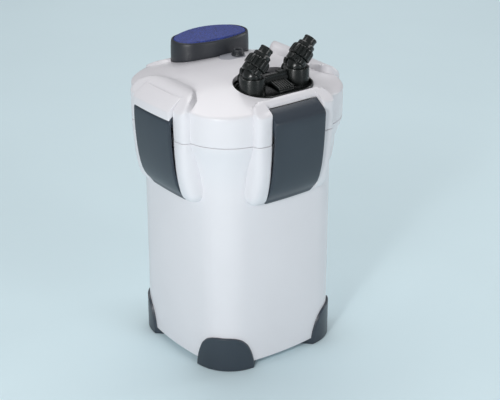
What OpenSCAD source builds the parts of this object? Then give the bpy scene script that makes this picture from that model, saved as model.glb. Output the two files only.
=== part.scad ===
// Canister water filter with a self-priming pump head, four hinged latches and an angled hose valve block.
// Millimetres, +Z up, origin on the floor under the centre of the canister.
// The valve block faces -Y and the priming button lies towards +Y.

/* [Canister] */
// half the canister's width across its bowed sides
body_half = 103.3; // [90:0.1:120]
// underside of the canister above the floor
body_z = 8; // [4:0.5:15]
// parting line between canister and pump head
seam_z = 316; // [290:1:340]
// how far the collar and head stand out from the canister wall
collar_g = 15.2; // [8:0.1:20]
// canister wall
wall = 3; // [2:0.1:5]
// height of the corner feet
foot_h = 48; // [30:1:70]

/* [Head] */
// head edge at the corners
edge_z = 355; // [345:1:365]
// top of the dome on the centre line
dome_z = 377; // [360:1:390]
// shell of the head
head_wall = 3.8; // [2:0.1:6]

/* [Latches] */
// half the width of a latch frame
frame_half = 60; // [50:1:65]
// half the width of the gap between the legs of a latch frame
gap_half = 39; // [30:0.5:45]
// half the width of a latch lever
lever_half = 37.7; // [28:0.1:44]
// hinge pin distance of the front latch from the centre line
pivot_w = 120; // [116:0.5:124]
// hinge pin height of the front latch
pivot_z = 338; // [330:0.5:342]
// hinge pin distance of the three capped latches
cap_pivot_w = 122.5; // [120:0.5:123]
// hinge pin height of the three capped latches
cap_pivot_z = 337; // [330:0.5:340]
// hinge pin radius
pin_r = 2; // [1.5:0.1:3]

/* [Priming pump] */
// centre of the button, X then Y
prime_x = 16; // [0:1:30]
prime_y = 80; // [70:1:90]
// travel of the button
prime_travel = 13; // [5:0.5:14]
// bore radius of the pump cylinder
prime_bore = 20; // [12:0.5:24]
// turns of the return spring
spring_turns = 6; // [3:1:10]

/* [Valve block] */
// middle of the valve tray, X then Y
tray_x = 9; // [0:1:20]
tray_y = -64; // [-70:1:-55]
// port posts, left and right
post_in_x = -25; // [-30:1:-20]
post_out_x = 44; // [38:1:50]
post_y = -66; // [-70:1:-60]
// radius of a port post
post_r = 16; // [12:0.5:18]
// outer radius of a hose tail
tail_r = 8; // [6:0.5:10]

/* [Cord gland] */
// centre of the gland, X then Y
gland_x = 27; // [20:1:40]
gland_y = 33; // [28:1:36]

/* [Hidden] */
$fn = 64;
e = 0.02;
side_r = 400;                    // bow of each side of the canister
corner_r = 49.8;                 // corner rounding of the canister
corner_c = 49.92;                // corner centre
bar_half = 55.5;
cav = -wall;                     // growth of the cavity wall
dome_r = (134 * 134 + pow(dome_z - edge_z, 2)) / (2 * (dome_z - edge_z));
motor_y = 8;
post_top = 384;
top_r = 9.5;                     // rolled top edge of a latch lever under its cap
tray_floor = 361;

// bowed rounded square grown outwards by g0 at z0 and g1 at z1
module block(z0, z1, g0, g1) {
  for (x = [-1, 1], y = [-1, 1])
    translate([x * corner_c, y * corner_c, z0]) cylinder(h = z1 - z0, r1 = corner_r + g0, r2 = corner_r + g1);
  for (a = [0, 90]) rotate([0, 0, a]) intersection() {
    translate([-2 * body_half, -bar_half, z0]) cube([4 * body_half, 2 * bar_half, z1 - z0]);
    translate([-(side_r - body_half), 0, z0]) cylinder(h = z1 - z0, r1 = side_r + g0, r2 = side_r + g1);
    translate([side_r - body_half, 0, z0]) cylinder(h = z1 - z0, r1 = side_r + g0, r2 = side_r + g1);
  }
}

// oval of the priming button grown by g
module oval(z0, z1, g) {
  translate([prime_x, prime_y, z0]) {
    for (x = [-31, 31]) translate([x, 0, 0]) cylinder(h = z1 - z0, r = 26 + g);
    intersection() {
      translate([-39.5, -60, 0]) cube([79, 120, z1 - z0]);
      translate([0, -77.08, 0]) cylinder(h = z1 - z0, r = 109.08 + g);
      translate([0, 77.08, 0]) cylinder(h = z1 - z0, r = 109.08 + g);
    }
  }
}

// rounded outline of the valve tray
module stadium(z0, z1, r) {
  translate([tray_x, tray_y, z0]) {
    for (x = [-18, 18]) translate([x, 0, 0]) cylinder(h = z1 - z0, r = r);
    translate([-18, -r, 0]) cube([36, 2 * r, z1 - z0]);
  }
}

// extrude a profile drawn in (outward, up) to plus and minus half along the side
module along(half) {
  rotate([90, 0, 0]) linear_extrude(height = 2 * half, center = true) children();
}
module side(a) { rotate([0, 0, a]) children(); }
module at_pivot(r, half, front) {
  translate([front ? pivot_w : cap_pivot_w, 0, front ? pivot_z : cap_pivot_z])
    rotate([90, 0, 0]) cylinder(h = 2 * half, r = r, center = true);
}

// plan outline of a latch frame reaching in to w0
module frame_plan(w0, r) {
  for (u = [-1, 1]) translate([w0 + r, u * (frame_half - r), 200]) cylinder(h = 200, r = r);
  translate([w0 + r, -frame_half, 200]) cube([60, 2 * frame_half, 200]);
  translate([w0, -(frame_half - r), 200]) cube([60, 2 * (frame_half - r), 200]);
}
module frame_head(front) {
  intersection() {
    frame_plan(front ? 101 : 84, front ? 18 : 30);
    along(frame_half + 1) polygon(front
      ? [[96, seam_z], [125, seam_z], [125.6, 340], [125, 353], [119, 359.5], [112, 363], [106, 365], [96, 365.6]]
      : [[80, seam_z], [125, seam_z], [125.6, 349], [124.5, 353.5], [113, 367], [106, 370],
         [95, 370.4], [80, 369]]);
  }
}
module frame_legs() {
  for (u = [-1, 1]) translate([0, u * (gap_half + frame_half) / 2, 0]) along((frame_half - gap_half) / 2)
    polygon([[96, seam_z], [125, seam_z], [124.6, 300], [122.3, 275], [118.5, 257], [113, 244],
             [107, 236], [99, 232], [96, 240]]);
}

module canister_blank() {
  block(body_z, 262, 0, 0);
  block(262, 290, 0, 6);
  block(290, seam_z, 6, collar_g);
}
module canister() color("white") difference() {
  union() {
    difference() {
      union() {
        canister_blank();
        for (a = [0 : 90 : 270]) side(a) frame_legs();
      }
      for (a = [0 : 90 : 270]) side(a) translate([111.5, -gap_half, 240]) cube([30, 2 * gap_half, 66]);
    }
    for (a = [0 : 90 : 270]) side(a) translate([108, -gap_half, 306]) cube([11, 2 * gap_half, 10]);
  }
  block(body_z + wall, seam_z + 1, cav, cav);
  block(296, seam_z + 1, 6, 6);
}

module foot(a) color("darkslategray") difference() {
  intersection() {
    block(0, foot_h, 3.2, 3.2);
    rotate([0, 0, a]) translate([82, 0, 0]) rotate([90, 0, 90]) linear_extrude(height = 70)
      polygon([[-38.5, -1], [38.5, -1], [37, 10], [33, 28], [28, 40], [21, foot_h + 1],
               [-21, foot_h + 1], [-28, 40], [-33, 28], [-37, 10]]);
  }
  block(body_z, foot_h + 1, 0, 0);
}
module foot_front_left() foot(225);
module foot_front_right() foot(315);
module foot_rear_left() foot(135);
module foot_rear_right() foot(45);

module dome(cut) { translate([0, 0, dome_z - dome_r]) sphere(r = dome_r - cut, $fn = 160); }
module head_cover() color("white") difference() {
  union() {
    intersection() { block(seam_z, 380, collar_g, collar_g); dome(0); }
    side(270) frame_head(true);
    for (a = [0, 90, 180]) side(a) frame_head(false);
    oval(347, 370, 2);
    stadium(349, 366, 37.5);
  }
  // hollow for the motor, kept clear of the latch, button and valve recesses
  difference() {
    intersection() { block(seam_z - 1, 380, collar_g - head_wall, collar_g - head_wall); dome(head_wall); }
    for (a = [0 : 90 : 270]) side(a) translate([96, -44, seam_z - 2]) cube([60, 88, 90]);
    oval(347, 390, 2);
    stadium(349, 390, 37.5);
  }
  for (a = [0 : 90 : 270]) side(a) {
    translate([111.5, -gap_half, seam_z - 1]) cube([40, 2 * gap_half, pivot_z - seam_z + 1]);
    at_pivot(a == 270 ? 21.6 : top_r + 0.6, gap_half, a == 270);
    at_pivot(pin_r + e, 50.5, a == 270);
    translate([a == 90 ? 115.5 : a == 270 ? 111.5 : 112, -gap_half, pivot_z]) cube([40, 2 * gap_half, 60]);
  }
  oval(352, 395, 0.3);
  translate([prime_x, prime_y, 340]) cylinder(h = 20, r = 22.5);
  translate([prime_x, prime_y, 314]) cylinder(h = 33.2, r = 26.3);
  stadium(340, 395, 36);
  translate([gland_x, gland_y, 350]) cylinder(h = 40, r = 7);
  gland_plate(10);
}

module head_base() color("lightgray") difference() {
  union() {
    difference() {
      union() {
        block(seam_z, 320, 11.2, 11.2);
        block(298, seam_z, 5.8, 5.8);
      }
      for (a = [0 : 90 : 270]) side(a) translate([95.8, -44.2, seam_z]) cube([60, 88.4, 10]);
    }
    translate([0, motor_y, 298]) cylinder(h = 52, r = 15);
  }
  difference() { block(303, 309, 9, 9); block(302, 310, 2.8, 2.8); }
  translate([0, motor_y, 297]) cylinder(h = 50, r = 13);
  for (x = [post_in_x, post_out_x]) translate([x, post_y, 290]) cylinder(h = 40, r = 10.2);
  for (a = [0 : 90 : 270]) rotate([0, 0, a + 45]) translate([88, 0, 290]) cylinder(h = 40, r = 2.3);
}
module head_seal() color("dimgray") difference() {
  block(303.2, 308.8, 6, 6);
  block(302, 310, 3, 3);
}
module base_screws() color("silver") for (a = [0 : 90 : 270]) rotate([0, 0, a + 45]) translate([88, 0, 0]) {
  translate([0, 0, 294.5]) cylinder(h = 3.5, r = 4);
  translate([0, 0, 298]) cylinder(h = 22, r = 2.2);
}

// latch lever drawn closed on the +X side; the front one reaches up into a sloped top of its own
lever_outer = [[131.9, 322], [130.6, 300], [127.6, 275], [122.6, 255], [115, 241.5], [109.5, 235.5], [107.2, 231]];
lever_inner = [[105.2, 232.2], [107, 237.5], [112.3, 244.5], [119.2, 257.5], [124.1, 276.5], [127.1, 301]];
module lever(front) color("darkslategray") difference() {
  union() {
    along(lever_half) polygon(concat(front ? [[130.8, 346.5], [132.6, 342]] : [[132, cap_pivot_z]],
      lever_outer, lever_inner, [[128.3, 322], [128.3, front ? 346 : cap_pivot_z]]));
    if (front) along(lever_half) polygon([[130.8, 346.5], [114, 358], [112.6, 355.6], [115.5, 350],
      [116, pivot_z], [129, 333]]);
    else difference() {
      at_pivot(top_r, lever_half, false);
      at_pivot(top_r - 3.5, 60, false);
      translate([100, -50, 300]) cube([cap_pivot_w - 100, 100, cap_pivot_z - 300]);
      translate([100, -50, 300]) cube([40, 100, cap_pivot_z - 304]);
    }
    for (u = [-30, 0, 30]) translate([front ? pivot_w : cap_pivot_w, u - 1.5, (front ? pivot_z : cap_pivot_z) - 3])
      cube([front ? 10 : 7.5, 3, 6]);
    along(26) polygon([[129, 298], [129, 308], [127, 305.5], [112.8, 305.5], [112.8, 302.5], [116, 300.5]]);
    at_pivot(front ? 5 : 4.5, lever_half, front);
  }
  at_pivot(pin_r + 0.05, 60, front);
}
module latch_left() side(180) lever(false);
module latch_right() side(0) lever(false);
module latch_rear() side(90) lever(false);
module latch_front() side(270) lever(true);
module pin(a) color("silver") side(a) at_pivot(pin_r, 50, a == 270);
module pin_left() pin(180);
module pin_right() pin(0);
module pin_rear() pin(90);
module pin_front() pin(270);
module cap(a, w0) color("white") side(a) difference() {
  along(gap_half) polygon([[w0, 340], [w0, w0 < 113 ? 368.3 : 367.2], [117, 366.2], [122, 362.3], [128, 357.2],
    [132.6, 352.8], [132.6, 342.3], [cap_pivot_w, 342.3]]);
  at_pivot(top_r + 0.6, gap_half + 1, false);
}
module cap_left() cap(180, 112);
module cap_right() cap(0, 112);
module cap_rear() cap(90, 115.5);

module prime_button() color("dimgray") difference() {
  union() { oval(366, 395, 0); }
  difference() {
    oval(360, 391, -2.5);
    translate([prime_x, prime_y, 380]) cylinder(h = 20, r = 8);
  }
  oval(394, 400, -3.5);
  translate([prime_x, prime_y, 370]) cylinder(h = 19, r = 4);
}
module prime_pad() color("royalblue") intersection() {
  oval(394, 399, -3.5);
  translate([prime_x, prime_y, 398.4 - 420]) sphere(r = 420, $fn = 360);
}
module prime_piston() color("gainsboro") translate([prime_x, prime_y, 0]) difference() {
  union() {
    translate([0, 0, 348]) cylinder(h = 41, r = 4);
    translate([0, 0, 342]) cylinder(h = 6, r = prime_bore - 0.3);
  }
  difference() {
    translate([0, 0, 343.5]) cylinder(h = 3, r = prime_bore + 1);
    translate([0, 0, 343]) cylinder(h = 4, r = prime_bore - 2);
  }
}
module prime_ring() color("dimgray") translate([prime_x, prime_y, 343.5]) difference() {
  cylinder(h = 3, r = prime_bore - 0.05);
  translate([0, 0, -1]) cylinder(h = 5, r = prime_bore - 2);
}
module prime_cylinder() color("gainsboro") translate([prime_x, prime_y, 0]) difference() {
  union() {
    translate([0, 0, 322]) cylinder(h = 32, r = prime_bore + 2.2);
    translate([0, 0, 343]) cylinder(h = 4, r = 26);
  }
  translate([0, 0, 324.5]) cylinder(h = 40, r = prime_bore);
  translate([0, 0, 320]) cylinder(h = 10, r = 5);
}
// each half turn is its own piece, a hair short of the next
module prime_spring() color("silver") translate([prime_x, prime_y, 353.3]) {
  rs = 25;
  pitch = (391 - 353.3 - 1.3 - 0.2) / spring_turns;
  tilt = asin(pitch / 4 / rs);
  for (i = [0 : 2 * spring_turns - 1])
    translate([0, 0, pitch / 4 + i * pitch / 2]) rotate([0, 0, 180 * (i % 2)]) rotate([0, tilt, 0])
      rotate_extrude(angle = 179.4) translate([rs, 0]) circle(r = 1.3);
}

// axes of the two slanted hose assemblies start low over their posts
module slant(x) { translate([x - 4, post_y, 388.5]) rotate([0, 45, 0]) children(); }
module fluted(s0, s1, r, n) {
  difference() {
    translate([0, 0, s0]) cylinder(h = s1 - s0, r = r);
    for (i = [0 : n - 1]) rotate([0, 0, i * 360 / n]) translate([r + 0.6, 0, s0 + 2])
      cylinder(h = s1 - s0, r = 1.6);
  }
}
module valve_tray() color("black") difference() {
  union() {
    difference() {
      stadium(350, 366.5, 36);
      stadium(tray_floor, 370, 33.6);
    }
    for (x = [post_in_x, post_out_x]) translate([x, post_y, 326]) cylinder(h = post_top - 326, r = 10);
    for (x = [post_in_x, post_out_x]) translate([x, post_y, 355]) cylinder(h = post_top - 355, r = post_r);
  }
  for (x = [post_in_x, post_out_x]) {
    translate([x, post_y, 320]) cylinder(h = 80, r = 8);
    translate([x, post_y, 377]) rotate([-90, 0, 0]) cylinder(h = 30, r = 5.05);
    translate([x, post_y, 330]) rotate_extrude() translate([9, -1.5]) square([3, 3]);
  }
  translate([tray_x, post_y, 374]) rotate([0, 90, 0]) cylinder(h = 50, r = 3.05, center = true);
  for (s = [-1, 1]) translate([tray_x + 4 * s, tray_y - 27 * s, 340])
    cylinder(h = 40, r = 2.1);
}
module valve_screws() color("silver") for (s = [-1, 1]) translate([tray_x + 4 * s, tray_y - 27 * s, 0]) {
  translate([0, 0, tray_floor]) cylinder(h = 2.4, r = 3.6);
  translate([0, 0, 345]) cylinder(h = 16, r = 2);
}
module port_seals() color("dimgray") for (x = [post_in_x, post_out_x]) translate([x, post_y, 330])
  rotate_extrude() translate([9, -1.4]) square([1.6, 2.8]);

module across(x0, x1) { translate([x0, 0, 0]) rotate([90, 0, 90]) linear_extrude(height = x1 - x0) children(); }
module lock_lever() color("black") translate([tray_x, post_y, 374]) {
  rotate([0, 90, 0]) {
    cylinder(h = 34, r = 6, center = true);
    cylinder(h = 46, r = 3, center = true);
  }
  translate([-17, -4.5, 0]) cube([34, 9, 9]);
  translate([4, -4, 8]) cube([8, 8, 2.6]);
  across(-11, 11) polygon([[6, -6.5], [5, 1.5], [-24, -5.7], [-25.5, -7.2], [-25.5, -8.6], [-24, -9.2], [-8, -7.5]]);
  for (i = [-3 : 3]) across(3.4 * i - 0.8, 3.4 * i + 0.8)
    polygon([[4, -5], [4, 3.1], [-24, -4.2], [-25.3, -6.5], [-24, -7.5]]);
}
module tap(x) color("black") translate([x, post_y, 377]) {
  rotate([-90, 0, 0]) translate([0, 0, 9]) cylinder(h = 18, r = 5);
  rotate([-90, 0, 0]) translate([0, 0, 17]) cylinder(h = 6, r = 7);
  translate([-3, 18, 0]) cube([6, 5, 12]);
}
module tap_inlet() tap(post_in_x);
module tap_outlet() tap(post_out_x);

module elbow(x) color("black") difference() {
  union() {
    difference() {
      translate([x, post_y, 384]) sphere(r = 14.5);
      slant(x) translate([-25, -25, 9]) cube([50, 50, 30]);
    }
    slant(x) fluted(2, 9, 13.2, 18);
    slant(x) cylinder(h = 20, r = 10);
  }
  translate([x - 40, post_y - 40, 340]) cube([80, 80, post_top - 340]);
  translate([x, post_y, 380]) cylinder(h = 10, r = 8);
  slant(x) cylinder(h = 40, r = 6.2);
  slant(x) translate([0, 0, 12]) cylinder(h = 30, r = tail_r + e);
}
module elbow_inlet() elbow(post_in_x);
module elbow_outlet() elbow(post_out_x);
module nut(x) color("black") slant(x) difference() {
  fluted(9.5, 23, 14, 18);
  translate([0, 0, 8]) cylinder(h = 12.5, r = 10.4);
  cylinder(h = 40, r = tail_r + 0.35);
}
module nut_inlet() nut(post_in_x);
module nut_outlet() nut(post_out_x);
module tail(x) color("black") slant(x) difference() {
  union() {
    translate([0, 0, 12]) cylinder(h = 26.5, r = tail_r);
    translate([0, 0, 23.4]) cylinder(h = 5.6, r = 11);
  }
  translate([0, 0, 10]) cylinder(h = 40, r = 6.2);
}
module tail_inlet() tail(post_in_x);
module tail_outlet() tail(post_out_x);

// flat oblong plate that the gland stands on
module gland_plate(h) translate([gland_x, gland_y, 371.5]) {
  for (x = [-15.5, -1]) translate([x, 1.5, 0]) cylinder(h = h, r = 11.5);
  translate([-15.5, -10, 0]) cube([14.5, 23, h]);
}
module gland_boss() color("lightgray") difference() {
  gland_plate(4.7);
  translate([gland_x, gland_y, 370]) cylinder(h = 8, r = 7);
}
module cable_gland() color("dimgray") translate([gland_x, gland_y, 0]) difference() {
  union() {
    translate([0, 0, 368]) cylinder(h = 16, r = 7);
    translate([0, 0, 376.2]) cylinder(h = 2.5, r = 8.5);
  }
  translate([0, 0, 360]) cylinder(h = 40, r = 3.6);
}

module stator_core() color("silver") translate([-30, motor_y - 22, 322]) difference() {
  cube([60, 44, 14]);
  translate([30, 22, -1]) cylinder(h = 20, r = 15.1);
}
module stator_coils() color("peru") for (x = [-24, 24]) translate([x, motor_y, 336]) difference() {
  translate([-8, -18, 0]) cube([16, 36, 12]);
  translate([-x, 0, -1]) cylinder(h = 20, r = 16);
}
module rotor_magnet() color("dimgray") translate([0, motor_y, 0]) difference() {
  translate([0, 0, 303]) cylinder(h = 40, r = 12);
  translate([0, 0, 290]) cylinder(h = 60, r = 1.55);
}
module impeller() color("white") translate([0, motor_y, 0]) difference() {
  union() {
    translate([0, 0, 294]) cylinder(h = 9, r = 8);
    translate([0, 0, 292]) cylinder(h = 2.5, r = 24);
    for (a = [0 : 60 : 300]) rotate([0, 0, a]) translate([4, -1, 280]) cube([20, 2, 13]);
    translate([0, 0, 280]) cylinder(h = 14, r = 5);
  }
  translate([0, 0, 270]) cylinder(h = 60, r = 1.55);
}
module rotor_shaft() color("silver") translate([0, motor_y, 274]) cylinder(h = 73, r = 1.5);
module pump_chamber() color("gainsboro") translate([0, motor_y, 0]) difference() {
  translate([0, 0, 270]) cylinder(h = 28, r = 32);
  translate([0, 0, 277]) cylinder(h = 30, r = 28);
  for (a = [0 : 60 : 300]) rotate([0, 0, a]) translate([8, 0, 260]) cylinder(h = 30, r = 3);
  translate([0, 0, 274]) cylinder(h = 30, r = 1.5);
  translate([20, -38, 280]) cube([10, 20, 14]);
}

module riser_tube() color("gainsboro") translate([post_in_x, post_y, 16]) difference() {
  cylinder(h = 304, r = 10);
  translate([0, 0, -1]) cylinder(h = 310, r = 8.2);
  for (a = [0 : 45 : 135]) rotate([0, 0, a]) translate([-12, -1.5, 2]) cube([24, 3, 14]);
}
module basket(z) color("whitesmoke") difference() {
  union() {
    difference() { block(z, z + 78, -5, -5); block(z + 2.5, z + 80, -7, -7); }
    translate([post_in_x, post_y, z]) cylinder(h = 78, r = 13);
  }
  translate([post_in_x, post_y, z - 1]) cylinder(h = 90, r = 10.8);
  for (i = [-5 : 5], j = [-1 : 5]) translate([i * 15 - 5, j * 15 - 2, z - 1]) cube([10, 5, 6]);
}
module basket_lower() basket(12);
module basket_middle() basket(90.2);
module basket_upper() basket(168.4);
module basket_grid() color("whitesmoke") difference() {
  block(246.6, 249, -5, -5);
  translate([post_in_x, post_y, 240]) cylinder(h = 20, r = 10.8);
  for (i = [-5 : 5], j = [-1 : 5]) translate([i * 15 - 5, j * 15 - 2, 240]) cube([10, 5, 16]);
}
module media(z, h) difference() {
  block(z, z + h, -8, -8);
  translate([post_in_x, post_y, z - 1]) cylinder(h = h + 2, r = 13.4);
}
module ceramic_media() color("tan") media(14.5, 66);
module coarse_foam() color("steelblue") media(92.7, 66);
module fine_foam() color("white") media(170.9, 66);

canister();
head_cover();
head_base();
head_seal();
base_screws();
foot_front_left();
foot_front_right();
foot_rear_left();
foot_rear_right();
latch_left();
latch_right();
latch_front();
latch_rear();
pin_left();
pin_right();
pin_front();
pin_rear();
cap_left();
cap_right();
cap_rear();
prime_button();
prime_pad();
prime_piston();
prime_ring();
prime_cylinder();
prime_spring();
valve_tray();
valve_screws();
lock_lever();
tap_inlet();
tap_outlet();
elbow_inlet();
elbow_outlet();
nut_inlet();
nut_outlet();
tail_inlet();
tail_outlet();
port_seals();
gland_boss();
cable_gland();
stator_core();
stator_coils();
rotor_magnet();
impeller();
rotor_shaft();
pump_chamber();
riser_tube();
basket_lower();
basket_middle();
basket_upper();
basket_grid();
ceramic_media();
coarse_foam();
fine_foam();
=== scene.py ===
"""Canister water filter with a self-priming pump head: the visible surfaces, materials, lights and camera.

Lengths are millimetres until a mesh is made; the frame is the CAD's: +Z up, the valve block facing -Y.
"""

import math

import bmesh
import bpy
import numpy as np
from mathutils import Matrix, Vector


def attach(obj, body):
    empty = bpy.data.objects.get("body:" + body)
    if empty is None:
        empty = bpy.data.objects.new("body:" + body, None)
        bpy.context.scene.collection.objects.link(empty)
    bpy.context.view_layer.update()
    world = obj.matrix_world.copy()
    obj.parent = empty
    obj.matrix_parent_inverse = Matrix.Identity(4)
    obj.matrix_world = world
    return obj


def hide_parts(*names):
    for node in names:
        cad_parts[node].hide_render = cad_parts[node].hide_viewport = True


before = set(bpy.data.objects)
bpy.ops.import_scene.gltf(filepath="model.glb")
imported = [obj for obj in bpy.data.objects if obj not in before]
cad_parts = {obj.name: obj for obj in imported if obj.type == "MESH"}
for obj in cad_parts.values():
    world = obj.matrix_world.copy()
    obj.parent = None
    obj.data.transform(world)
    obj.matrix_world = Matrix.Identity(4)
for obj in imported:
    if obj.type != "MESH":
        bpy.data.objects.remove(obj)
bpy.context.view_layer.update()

# ------------------------------------------------------------------ sizes
# the canister's outline: half width, radius of a side, radius of a corner and where its centre lies
BODY_HALF, SIDE_R, CORNER_R, CORNER_C = 103.3, 400.0, 49.8, 49.92
# where a side's arc passes into the corner's: at no growth, and per unit of growth
TURN_U, TURN_RISE = 57.0, 0.143
# growth of the canister's outline to that of the collar and the head, to that of the head's inner skin,
# and to the ring inside which the head's top is drawn in towards its middle
COLLAR = 15.2
SKIN_G, INNER_G = COLLAR - 3.8, -15.0
# where the inner skin stands behind a latch, and the half width over which it does
SKIN_STEP_W, SKIN_STEP_U = 96.0, 44.0
# heights: the canister's underside and top, the seam, the head's lower rim, the top of its walls, the dome
BODY_Z, BODY_TOP, SEAM_Z, RIM_Z, WALL_Z, DOME_Z = 8.0, 315.7, 316.0, 316.3, 349.0, 377.0
# the dome falls 22 at 134 from the middle
DOME_R = (134.0**2 + 22.0**2) / 44.0
# the rounded crest of the head: its radius, and each point's drop below the top and way back from the wall
CREST_R, CREST = 2.4, ((1.2, 0.25), (0.35, 1.0))
# half widths of a latch frame, of the gap in it and of the lever in the gap
FRAME_HALF, GAP_HALF, LEVER_HALF = 60.0, 39.0, 38.4
# the gap's back wall, the one at the rear of the head, and the ledge of the collar that a latch hooks under
RECESS_W, REAR_RECESS_W, LEDGE_W, LEDGE_Z = 111.5, 115.2, 119.0, 306.0
# a lever or a cap bows outwards by this much in the middle
BOW = 1.3
# where the front latch turns, and where the other three turn under their caps
PIVOT_W, PIVOT_Z = 120.0, 338.0
CAP_PIVOT_W, CAP_PIVOT_Z = 122.5, 337.0
# the priming button: its middle, the end circles' distance from it and radius, and the side arcs'
PRIME = (16.0, 80.0)
END_X, END_R, ARC_Y, ARC_R = 31.0, 26.0, 77.08, 109.08
# the valve tray: its middle, half its straight part, its floor and the floor's radius at the ends
TRAY, TRAY_HALF, TRAY_FLOOR, FLOOR_R = (9.0, -64.0), 18.0, 361.0, 32.4
POST_X = {"inlet": -25.0, "outlet": 44.0}
POST_Y, POST_TOP = -66.0, 384.0
# the cable gland and the plate that it stands on
GLAND = (27.0, 33.0)
PLATE_X, PLATE_Y, PLATE_R = (11.5, 26.0), 34.5, 11.5
SIDES = {"right": 0, "rear": 1, "left": 2, "front": 3}


# ------------------------------------------------------------------ materials
def material(name, colour, rough=0.4, spread=0.06, grain=900.0, bump=0.06, coat=0.0, metal=0.0, large=14.0):
    """A procedural finish: a slowly drifting colour, uneven roughness and a fine surface grain."""
    m = bpy.data.materials.new(name)
    m.use_nodes = True
    nodes, links = m.node_tree.nodes, m.node_tree.links
    shader = nodes["Principled BSDF"]
    shader.inputs["IOR"].default_value = 1.5
    shader.inputs["Coat Weight"].default_value = coat
    shader.inputs["Coat Roughness"].default_value = 0.12
    shader.inputs["Metallic"].default_value = metal
    coords = nodes.new("ShaderNodeTexCoord")

    def noise(scale, detail):
        n = nodes.new("ShaderNodeTexNoise")
        n.inputs["Scale"].default_value = scale
        n.inputs["Detail"].default_value = detail
        links.new(coords.outputs["Object"], n.inputs["Vector"])
        return n

    def spread_to(source, low, high, out_low, out_high):
        n = nodes.new("ShaderNodeMapRange")
        n.inputs["From Min"].default_value, n.inputs["From Max"].default_value = low, high
        n.inputs["To Min"].default_value, n.inputs["To Max"].default_value = out_low, out_high
        links.new(source, n.inputs["Value"])
        return n

    broad, fine = noise(large, 3.0), noise(grain, 2.0)
    mix = nodes.new("ShaderNodeMix")
    mix.data_type = "RGBA"
    dark = [c * (1 - spread) for c in colour] + [1.0]
    light = [min(1.0, c * (1 + spread)) for c in colour] + [1.0]
    mix.inputs["A"].default_value, mix.inputs["B"].default_value = dark, light
    shade = spread_to(broad.outputs["Fac"], 0.3, 0.7, 0.0, 1.0)
    links.new(shade.outputs["Result"], mix.inputs["Factor"])
    links.new(mix.outputs["Result"], shader.inputs["Base Color"])
    gloss = spread_to(fine.outputs["Fac"], 0.3, 0.7, rough * 0.9, min(1.0, rough * 1.12))
    links.new(gloss.outputs["Result"], shader.inputs["Roughness"])
    relief = nodes.new("ShaderNodeBump")
    relief.inputs["Strength"].default_value = bump
    relief.inputs["Distance"].default_value = 0.0003
    links.new(fine.outputs["Fac"], relief.inputs["Height"])
    links.new(relief.outputs["Normal"], shader.inputs["Normal"])
    return m


FINISH = {slot: material(slot, colour, **look) for slot, colour, look in (
    ("white_plastic", (0.81, 0.80, 0.83), dict(rough=0.34, spread=0.012, bump=0.03, coat=0.25)),
    ("grey_plastic", (0.36, 0.37, 0.41), dict(rough=0.45, spread=0.04)),
    ("slate_plastic", (0.034, 0.046, 0.062), dict(rough=0.36, spread=0.08, bump=0.12, grain=1400)),
    ("dark_plastic", (0.030, 0.034, 0.041), dict(rough=0.42, spread=0.08, bump=0.12)),
    ("blue_pad", (0.020, 0.042, 0.24), dict(rough=0.6, spread=0.8, grain=1100, bump=0.5, large=700)),
    ("black_plastic", (0.010, 0.0125, 0.012), dict(rough=0.27, spread=0.15, bump=0.05)),
    ("clear_plastic", (0.62, 0.64, 0.66), dict(rough=0.35, spread=0.03)),
    ("seal_rubber", (0.012, 0.012, 0.013), dict(rough=0.7, spread=0.15)),
    ("steel", (0.55, 0.56, 0.58), dict(rough=0.3, metal=1.0, spread=0.05)),
    ("copper", (0.60, 0.28, 0.12), dict(rough=0.35, metal=1.0, spread=0.08)),
    ("magnet", (0.03, 0.03, 0.033), dict(rough=0.55, spread=0.15)),
    ("ceramic", (0.50, 0.40, 0.27), dict(rough=0.9, spread=0.3, grain=300, bump=0.9, large=120)),
    ("foam_blue", (0.05, 0.15, 0.33), dict(rough=0.95, spread=0.35, grain=420, bump=1.0, large=300)),
    ("foam_white", (0.74, 0.74, 0.70), dict(rough=0.95, spread=0.12, grain=380, bump=0.9, large=200)),
)}


# ------------------------------------------------------------------ mesh tools
def make(name, verts, faces, slot="white_plastic", angle=32.0):
    """A mesh object from millimetre points; edges sharper than the angle stay sharp."""
    mesh = bpy.data.meshes.new(name)
    mesh.from_pydata((np.asarray(verts, float) / 1000.0).tolist(), [], faces)
    mesh.validate()
    obj = bpy.data.objects.new(name, mesh)
    bpy.context.scene.collection.objects.link(obj)
    mesh.materials.append(FINISH[slot])
    tidy_normals(obj)
    smooth(obj, angle)
    return obj


def tidy_normals(obj):
    """Doubled points and faces without area go, and every face looks outwards."""
    bm = bmesh.new()
    bm.from_mesh(obj.data)
    bmesh.ops.remove_doubles(bm, verts=bm.verts, dist=2e-6)
    bmesh.ops.dissolve_degenerate(bm, edges=bm.edges, dist=1e-6)
    bmesh.ops.recalc_face_normals(bm, faces=bm.faces)
    bm.to_mesh(obj.data)
    bm.free()


def smooth(obj, angle):
    """Smooth shading, broken at edges sharper than the angle."""
    obj.data.polygons.foreach_set("use_smooth", [True] * len(obj.data.polygons))
    obj.data.set_sharp_from_angle(angle=math.radians(angle))
    obj.data.update()


def loft(rings, close_start=True, close_end=True):
    """Points and faces joining equal rings of points in order; an end is closed with a fan."""
    rings = [np.asarray(r, float) for r in rings]
    count = len(rings[0])
    verts = np.vstack(rings).tolist()
    faces = []
    for i in range(len(rings) - 1):
        a, b = i * count, (i + 1) * count
        for j in range(count):
            k = (j + 1) % count
            faces.append((a + j, a + k, b + k, b + j))
    for wanted, ring, start in ((close_start, rings[0], 0), (close_end, rings[-1], (len(rings) - 1) * count)):
        if wanted:
            centre = len(verts)
            verts.append(ring.mean(0).tolist())
            faces += [(start + j, start + (j + 1) % count, centre) for j in range(count)]
    return verts, faces


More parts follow.
